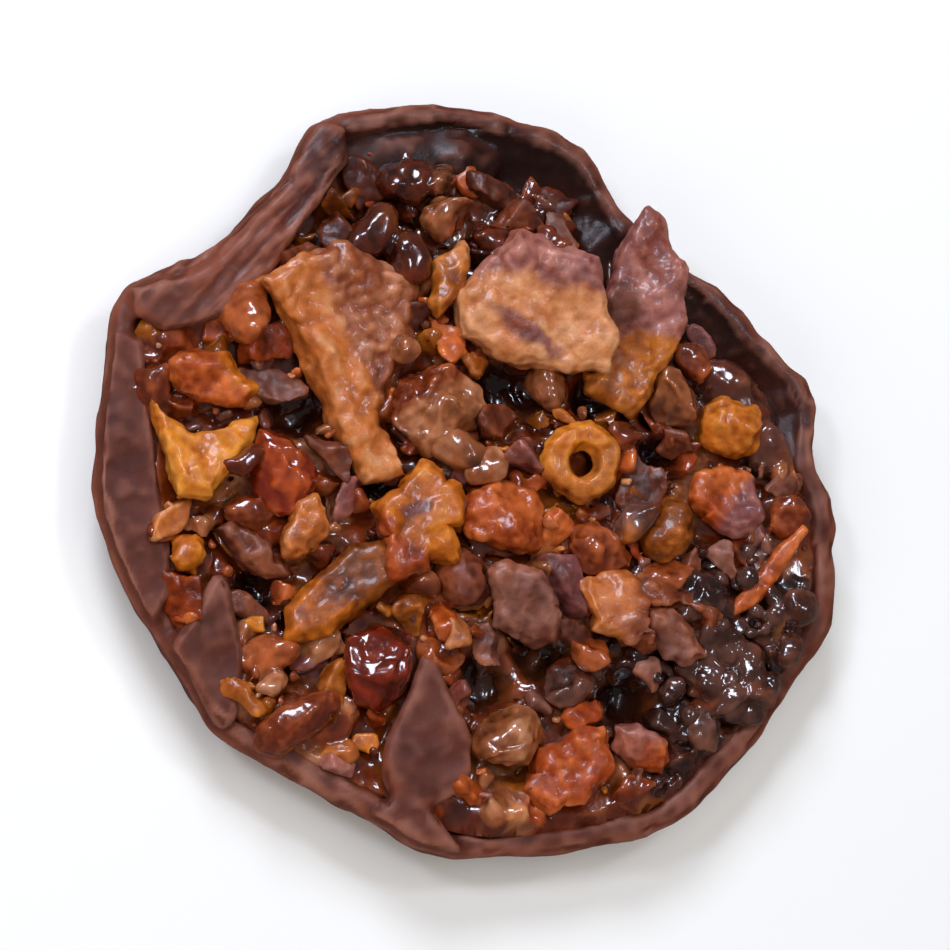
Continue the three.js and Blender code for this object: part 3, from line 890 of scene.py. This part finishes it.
def filling(chips, bits):
    """The caramel with what is bedded in it, as one piece."""
    points, faces, hollow = filling_skin(chips, bits)
    # Painted shade in the hollows and between the fold and the top; edges lighter, partly as wear and
    # partly as painted highlight, and creases in painted shade.
    tone = -0.1 - 0.7 * hollow + mottle(points, 13) + 0.5 * worn_lit_edges_and_shaded_creases(points, faces) - 0.5 * shaded(points)
    colours = filling_colours(points, tone)
    on_bits = colour_bits(colours, points, tone, bits)
    # Darker caramel at the lower right, and painted shade in the hollows.
    dark = np.maximum(darkness(points[:, 0], points[:, 1]), 0.6 * hollow)
    colours = mix(colours, shade("caramel_dark", tone), dark)

    push = 0.28 * fbm(points, 2.6, seed=11) + 0.08 * noise(points, 0.8, seed=12)
    lumpy = np.clip(0.6 + fbm(points, 6.0, seed=18), 0, 1)
    push = push + 0.35 * (bumps(points, 1.7, 14) - 0.5) * lumpy * (1 - on_bits)
    points = settled_on_rim(points + normals_of(points, faces) * push[:, None])
    piece("caramel_filling", points, faces, colours, 0.08, "caramel", [HEAP])


# ---- scattered bits

CUTS = {"caramel": 2, "chocolate": 6, "flake": 7, "peel": 7, "nut": 6}
LARGE_DROP = 4  # from this length on, a drop has no cuts
THIN = {"flake": 0.28, "chocolate": 0.6, "peel": 0.45, "nut": 0.55, "caramel": 0.8}
RIM_CLEAR = 0.4  # bits lie where the dish's top is at most this far above the filling
OUTER = 22.5  # further out than this, the named bits lie no higher than the rim's filling
DULL = (-13, -20, 4)  # no pale caramel lies here: middle and reach
# How often each kind lies on the filling, and the kinds that differ towards the far and right sides.
SHARES = {"peel_amber": 0.11, "peel_pale": 0.05, "peel_red": 0.15, "nut": 0.05, "caramel": 0.27,
          "caramel_pale": 0.11, "flake": 0.12, "nut_skin": 0.08, "chocolate": 0.06}
FAR_SIDE = 15
FAR_SHARES = {"peel_pale": 0, "nut": 0, "peel_red": 0.06, "caramel_pale": 0.08, "flake": 0.3,
              "chocolate": 0.2}


def broken(rng, surface, size, detail):
    """A bit of a length, width and thickness, broken off along flat cuts; caramel is a drop."""
    points, faces = BALLS[detail]
    cuts = 0 if surface == "caramel" and size[0] >= LARGE_DROP else CUTS[surface]
    for _ in range(cuts):
        normal = rng.normal(size=3) * ((1, 1, 0.25) if surface == "flake" else (1, 1, 0.8))
        normal /= np.linalg.norm(normal)
        points = points - np.maximum(points @ normal - rng.uniform(0.4, 0.8), 0)[:, None] * normal
    for way in (-1, 1):
        flat = rng.uniform(0.25, 0.45) if surface != "caramel" else 0.9
        points = points - way * np.maximum(way * points[:, 2] - flat, 0)[:, None] * np.array([0, 0, 1])
    points = points / np.abs(points).max(axis=0) * np.array(size) / 2
    place = rng.uniform(-99, 99, size=3)
    wave = np.stack([noise(points + place, 0.5 * size[0], k) for k in range(3)], axis=1)
    points = points + 0.17 * np.array(size) * wave
    points[:, 2] += rng.uniform(-0.06, 0.06) * points[:, 0] ** 2
    return points, faces


def tree_of(names):
    """Solids to look up heights in."""
    points, faces = joined([cad_arrays(name) for name in names])
    return BVHTree.FromPolygons([tuple(p) for p in points], [tuple(f) for f in faces.tolist()])


def top_of(tree, x, y):
    """Height of a solid's top at x, y, or 0 where it isn't."""
    hit = tree.ray_cast(Vector((x, y, 30)), Vector((0, 0, -1)))[0]
    return hit.z if hit else 0.0


def free_at(x, y, size, clear):
    """Height of the filling where a bit may lie, or 0 where a topping or the rim is in its way."""
    # Six places round it, and the place itself.
    for n in range(7):
        away = 0 if n == 6 else clear * size
        a, b = x + away * math.cos(n * math.pi / 3), y + away * math.sin(n * math.pi / 3)
        heap = top_of(HEAP_TREE, a / SPREAD, b / SPREAD)
        if heap == 0 or top_of(TOPPINGS_TREE, a, b) > heap:
            return 0.0
    heap += lift(x, y)[0]
    return 0.0 if top_of(BASE_TREE, x, y) > heap + RIM_CLEAR or pit(x, y) > 0.3 else heap


def spots(rng, tries, sizes, spacing, clear, taken=()):
    """Places on the filling: x, y, height and size, none closer to one another than spacing allows."""
    found = list(taken)
    for _ in range(tries):
        x, y = rng.uniform(-29, 29, size=2)
        size = sizes[0] + (sizes[1] - sizes[0]) * rng.random() ** 1.4
        if any(math.hypot(x - a, y - b) < spacing * (size + s) / 2 for a, b, _, s in found):
            continue
        height = free_at(x, y, size, clear)
        if height:
            found.append((x, y, height, size))
    return found[len(taken):]


def kind_at(rng, x, y):
    """Which kind of bit lies at a place."""
    dark, pick = rng.random(size=2)
    if dark < darkness(x, y):
        return "caramel_dark"
    shares = SHARES | FAR_SHARES if max(x, y) > FAR_SIDE else SHARES
    steps = np.cumsum(list(shares.values()))
    kind = list(shares)[np.searchsorted(steps, pick * steps[-1])]
    dull = kind == "caramel_pale" and math.hypot(x - DULL[0], y - DULL[1]) < DULL[2]
    return "caramel" if dull else kind


# Bits at places of their own: kind, x, y, length, width, thickness, turn and lean.
NAMED_BITS = [
    ("peel", 6.7, 4.6, 3.6, 1.3, 0.8, -38, 10), ("nut", -2.1, -13, 2.8, 2.2, 1.8, 80, 0),
    ("caramel_pale", 2.8, -26.2, 4.6, 2.2, 1.6, -18, 0), ("peel", 2.0, 1.7, 1.8, 0.7, 0.5, -30, 0),
    ("peel", -9.0, -21.1, 2.4, 1.8, 1.4, 10, 0), ("peel", -17.6, -12.6, 1.9, 1.6, 1.2, 0, 0),
    ("peel", 16.6, 13.1, 2.6, 1.4, 1.0, -10, 20), ("peel_amber", -10.4, 21.6, 2.2, 1.9, 1.3, 60, 0),
    ("nut_skin", 19.0, 11.6, 4.6, 1.9, 0.8, -32, 15), ("peel_red", 4.7, 23.9, 2.8, 0.8, 0.8, 68, 0),
    ("caramel_pale", -21.8, -5.2, 2.2, 1.7, 1.2, -20, 0), ("chocolate", -7.4, -0.4, 2.8, 2.0, 1.6, -40, 0),
    ("flake", -11.2, 0.6, 5.6, 3.0, 1.0, -42, 20), ("nut_skin", -10.5, -2.6, 3.8, 2.2, 0.9, 58, 15),
    ("flake", 17.3, -6.6, 4.8, 2.6, 1.0, 78, 30), ("nut_skin", 22.2, -3.6, 4.0, 2.6, 1.0, -20, 20),
    ("chocolate", -9.2, 22.8, 5.4, 3.6, 1.2, -56, 8),
    ("chocolate", -12.2, 18.8, 4.6, 3.2, 1.4, -52, 10), ("chocolate", 3.4, 20.6, 4.4, 3.4, 1.6, 30, 10),
    ("chocolate", 7.2, 22.6, 5.0, 3.6, 1.6, -30, 10), ("caramel_pale", -12.4, -14.0, 3.2, 2.2, 1.6, 20, 0),
    ("caramel", -8.8, 18.4, 5.6, 3.4, 3.0, 62, 0), ("caramel", -5.8, 16.8, 4.4, 3.0, 2.6, 100, 0),
    ("caramel_brown", 21.6, 7.2, 8.0, 5.4, 3.0, -24, 0), ("caramel_brown", 23.8, 3.2, 4.6, 5.0, 2.6, 0, 0),
    ("caramel_brown", 12.6, -3.4, 4.4, 3.0, 2.6, 40, 0), ("caramel", -11.4, -20.0, 4.4, 3.2, 2.2, 30, 0),
    ("caramel_pale", -12.6, -23.2, 3.6, 2.2, 1.6, -36, 0), ("peel_red", 10.0, -26.4, 4.6, 2.2, 1.4, 20, 0),
    ("flake", 25.4, -7.0, 3.6, 2.6, 1.0, 60, 20), ("caramel", 5.4, 18.4, 3.6, 3.2, 2.4, 0, 0),
    ("caramel_pale", -6.6, 9.2, 3.6, 2.6, 2.2, -50, 0), ("caramel_pale", -1.8, 1.6, 4.2, 3.0, 2.2, -30, 0),
    ("caramel", 11.4, 3.4, 3.4, 2.4, 2.0, 10, 0), ("peel_red", -20.6, 10.4, 3.8, 2.6, 1.4, 30, 0),
    ("caramel", -19.0, -0.3, 3.2, 2.4, 1.8, 30, 0),
]


def named_bits():
    """The bits of NAMED_BITS, each resting on what is under it."""
    made = []
    for n, (kind, x, y, long, wide, thick, turn, lean) in enumerate(NAMED_BITS):
        height = max(top_of(tree, x, y) for tree in (HEAP_TREE, TOPPINGS_TREE, BASE_TREE))
        if math.hypot(x, y) > OUTER:
            height = min(height, EDGE_LEVEL + RIM_CLEAR)
        rng = np.random.default_rng(41 + n)
        points, faces = broken(rng, SURFACE_OF[kind], (long, wide, thick), 4)
        points = turned(points, turn, lean, 0) + np.array([x, y, height + 0.25 * thick])
        made.append((kind, points, faces))
    return made


def loose_bits(seed, places, detail, lean, rise):
    """Bits at the places, leaning up to so many degrees and risen by a share of their thickness."""
    rng = np.random.default_rng(seed)
    made = []
    for x, y, height, size in places:
        kind = kind_at(rng, x, y)
        thick = size * THIN[SURFACE_OF[kind]] * rng.uniform(0.8, 1.3)
        shape = (size * rng.uniform(1, 1.5), size * rng.uniform(0.7, 1), thick)
        points, faces = broken(rng, SURFACE_OF[kind], shape, detail)
        points = turned(points, *rng.uniform((0, -lean, -lean), (360, lean, lean)))
        made.append((kind, points + np.array([x, y, height + rise * thick]), faces))
    return made


def dark_beads(rng, tries, chips):
    """Beads of dark caramel that fill the lower right between the larger pieces."""
    made = [(x, y, 0, 0.4 * size) for x, y, _, size in chips]
    for _ in range(tries):
        x, y = rng.uniform((9, -28), (29, 0))
        radius = rng.uniform(0.5, 1.15)
        crowded = any(math.hypot(x - a, y - b) < 0.6 * (radius + r) + 0.2 for a, b, _, r in made)
        height = free_at(x, y, radius, 0.3)
        if rng.random() < 1.6 * darkness(x, y) and height and not crowded:
            made.append((x, y, height + 0.15 * radius, radius))
    points, faces = BALLS[2]
    return [("caramel_dark", points * r + np.array([x, y, z]), faces) for x, y, z, r in made[len(chips):]]


def nearest_bit(points, bits):
    """The number of the bit that each point belongs to."""
    nearest = np.full(len(points), 99.0)
    owner = np.zeros(len(points), int)
    for n, (_, p, _) in enumerate(bits):
        away = np.linalg.norm((points - p.mean(axis=0)) / np.ptp(p, axis=0), axis=1)
        owner = np.where(away < nearest, n, owner)
        nearest = np.minimum(nearest, away)
    return owner


def melted(label, made, voxel, seed):
    """The bits of each surface as one skin, on which every bit keeps its own colour."""
    for surface in sorted({SURFACE_OF[kind] for kind, _, _ in made}):
        chosen = [bit for bit in made if SURFACE_OF[bit[0]] == surface]
        points, faces = remesh(*joined([(p, f) for _, p, f in chosen]), voxel)
        owner = nearest_bit(points, chosen)
        points = carved(points, faces, seed, facets=0.04 if surface == "caramel" else 0.2, warp=0.25)
        own_tone = 0.3 * np.random.default_rng(seed).normal(size=len(chosen))[owner]
        # Edges lighter, partly as wear and partly as painted highlight, creases in painted shade, and
        # painted shade between the fold and the top.
        tone = own_tone + mottle(points, seed) + 0.45 * worn_lit_edges_and_shaded_creases(points, faces) - 0.6 * shaded(points)
        colours = np.zeros((len(points), 3))
        for n, (kind, _, _) in enumerate(chosen):
            mine = owner == n
            colours[mine] = shade(kind, tone[mine])
        colours, matt = glazed(colours, points, tone, surface)
        piece(f"{surface}_{label}", points, faces, colours, matt, surface)


def all_bits():
    """The bits on the filling, and the filling round them."""
    rng = np.random.default_rng(5)
    taken = [(x, y, 0, 0.8 * math.sqrt(long * wide)) for _, x, y, long, wide, _, _, _ in NAMED_BITS]
    medium = spots(rng, 3000, (2.8, 5.2), spacing=0.7, clear=0.3, taken=taken)
    small = spots(rng, 3000, (1.6, 3.4), spacing=0.85, clear=0.2)
    crumbs = spots(rng, 400, (0.5, 1.1), spacing=1.5, clear=0.2)
    named = named_bits()
    lobes = [bit for bit in named if SURFACE_OF[bit[0]] == "caramel"]
    chips = [bit for bit in named if SURFACE_OF[bit[0]] != "caramel"]
    chips += loose_bits(21, medium, detail=4, lean=35, rise=0.0)
    melted("chips", chips, CHIPS_VOXEL, seed=51)
    melted("crumbs", loose_bits(23, crumbs, detail=2, lean=90, rise=0.2), CRUMBS_VOXEL, seed=53)
    sunk = loose_bits(22, small, detail=3, lean=60, rise=-0.25)
    filling(chips, sunk + lobes + dark_beads(rng, 900, taken + medium))


# ---- light, floor and camera

COOL = (0.9, 1.0, 1.2)  # colour of the lights that the highlights show
WORLD_STRENGTH = 0.1
FLOOR_HALF = 3.0  # metres
FLOOR_COLOUR = (0.9, 0.865, 0.81, 1)


def area_light(name, place, size, power, seen=True):
    """A disk of light aimed at the origin; an unseen one makes no highlights."""
    data = bpy.data.lights.new(name, "AREA")
    data.shape = "DISK"
    data.size = size
    data.energy = power
    data.color = COOL if seen else (1, 1, 1)
    light = placed(name, data)
    light.location = place
    light.visible_glossy = seen
    light.rotation_mode = "QUATERNION"
    light.rotation_quaternion = Vector(place).to_track_quat("Z", "Y")


def floor():
    """The pale ground, which the highlights don't show."""
    corners = FLOOR_HALF * np.array([(-1, -1, 0), (1, -1, 0), (1, 1, 0), (-1, 1, 0)])
    ground = placed("floor", plain_mesh("floor", corners, np.array([(0, 1, 2, 3)])))
    pale = bpy.data.materials.new("floor_pale")
    pale.use_nodes = True
    surface = pale.node_tree.nodes["Principled BSDF"]
    surface.inputs["Base Color"].default_value = FLOOR_COLOUR
    surface.inputs["Roughness"].default_value = 0.9
    ground.data.materials.append(pale)
    ground.visible_glossy = False


def studio():
    """An even pale world and five lights: size in metres and power in watts."""
    scene = bpy.context.scene
    scene.view_settings.view_transform = "Standard"
    world = bpy.data.worlds.new("studio")
    world.use_nodes = True
    sky = world.node_tree.nodes["Background"]
    sky.inputs["Color"].default_value = (1, 1, 1, 1)
    sky.inputs["Strength"].default_value = WORLD_STRENGTH
    scene.world = world
    area_light("key", (-0.10, 0.28, 0.30), size=0.15, power=0.95)
    area_light("spark", (-0.22, 0.10, 0.34), size=0.07, power=0.3)
    area_light("glint", (0.14, 0.12, 0.38), size=0.06, power=0.2)
    area_light("top", (0.05, 0.02, 0.55), size=0.50, power=1.2, seen=False)
    area_light("front", (-0.22, -0.30, 0.26), size=0.40, power=0.6, seen=False)


CAMERA_TILT = 17  # degrees from straight above
CAMERA_SIDE = 218  # the side that the camera leans to, in degrees from +X
CAMERA_LENS = 100
FILL = 0.80  # share of the picture's width that the cookie takes


def camera():
    """A long lens over the cookie, at the height where it fills its share of the picture."""
    low, high = CAD_BOX
    middle = (low + high) / 2
    tilt, side = math.radians(CAMERA_TILT), math.radians(CAMERA_SIDE)
    back = Vector((math.sin(tilt) * math.cos(side), math.sin(tilt) * math.sin(side), math.cos(tilt)))
    across = Vector((0, 1, 0)).cross(back).normalized()
    up = back.cross(across)
    data = bpy.data.cameras.new("camera")
    data.lens = CAMERA_LENS
    away = (high.x - low.x) / FILL * data.lens / data.sensor_width
    data.clip_start = 0.01
    cam = placed("camera", data)
    axes = Matrix((across, up, back)).transposed().to_4x4()
    cam.matrix_world = Matrix.Translation(middle + back * away) @ axes
    bpy.context.scene.camera = cam


HEAP_TREE = tree_of([HEAP])
TOPPINGS_TREE = tree_of(TOPPINGS)
BASE_TREE = tree_of([BASE])

studio()
floor()
camera()
chocolate_dish()
for count, name in enumerate(TOPPINGS):
    make = cluster if name == CLUSTER else topping
    make(name, 100 + 17 * count)
all_bits()
